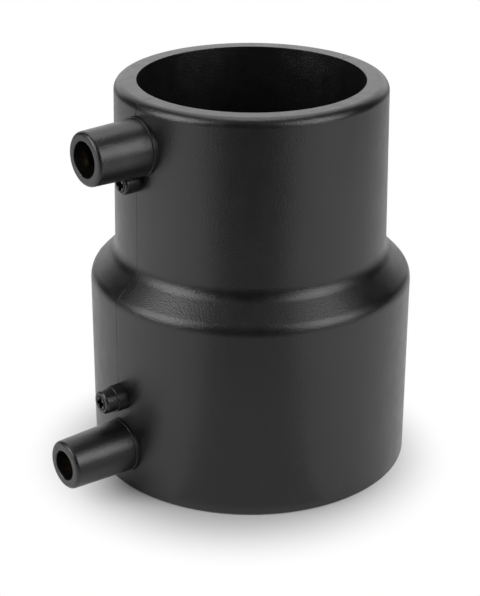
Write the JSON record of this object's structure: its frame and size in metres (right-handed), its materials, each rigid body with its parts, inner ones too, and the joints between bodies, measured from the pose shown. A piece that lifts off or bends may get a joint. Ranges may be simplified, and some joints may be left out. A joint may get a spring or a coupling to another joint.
{
  "type": "electrofusion reducer",
  "caption": "Polyethylene reducer that welds a larger and a smaller pipe end to end by a heating wire buried in its sockets.",
  "frame": {"origin": "centre of the large socket's mouth, on the plane the part stands on", "axes": "+Z along both sockets, from the large mouth to the small one; the terminals and fusion indicators point along -Y; the part is symmetric about the plane X = 0, apart from its windings and the small fusion indicator, 1.5 mm beside that plane towards -X"},
  "size_m": [0.0922, 0.1119, 0.1124],
  "materials": {
    "body_plastic": "satin moulded black polyethylene with a fine grain",
    "wire_coat": "smooth black polyethylene coat",
    "terminal_brass": "turned, bright",
    "indicator_plastic": "satin moulded black polyethylene"
  },
  "bodies": {
    "fitting": {"body": "body_plastic", "heating_wire": "wire_coat", "small_terminal_pin": "terminal_brass", "large_terminal_pin": "terminal_brass"},
    "small_indicator": {"small_fusion_indicator": "indicator_plastic"},
    "large_indicator": {"large_fusion_indicator": "indicator_plastic"}
  },
  "joints": [
    {"name": "small_indicator_rise", "type": "slide", "parent": "fitting", "child": "small_indicator", "axis": [0, -1, 0], "range_m": [0, 0.0025]},
    {"name": "large_indicator_rise", "type": "slide", "parent": "fitting", "child": "large_indicator", "axis": [0, -1, 0], "range_m": [0, 0.0025]}
  ]
}
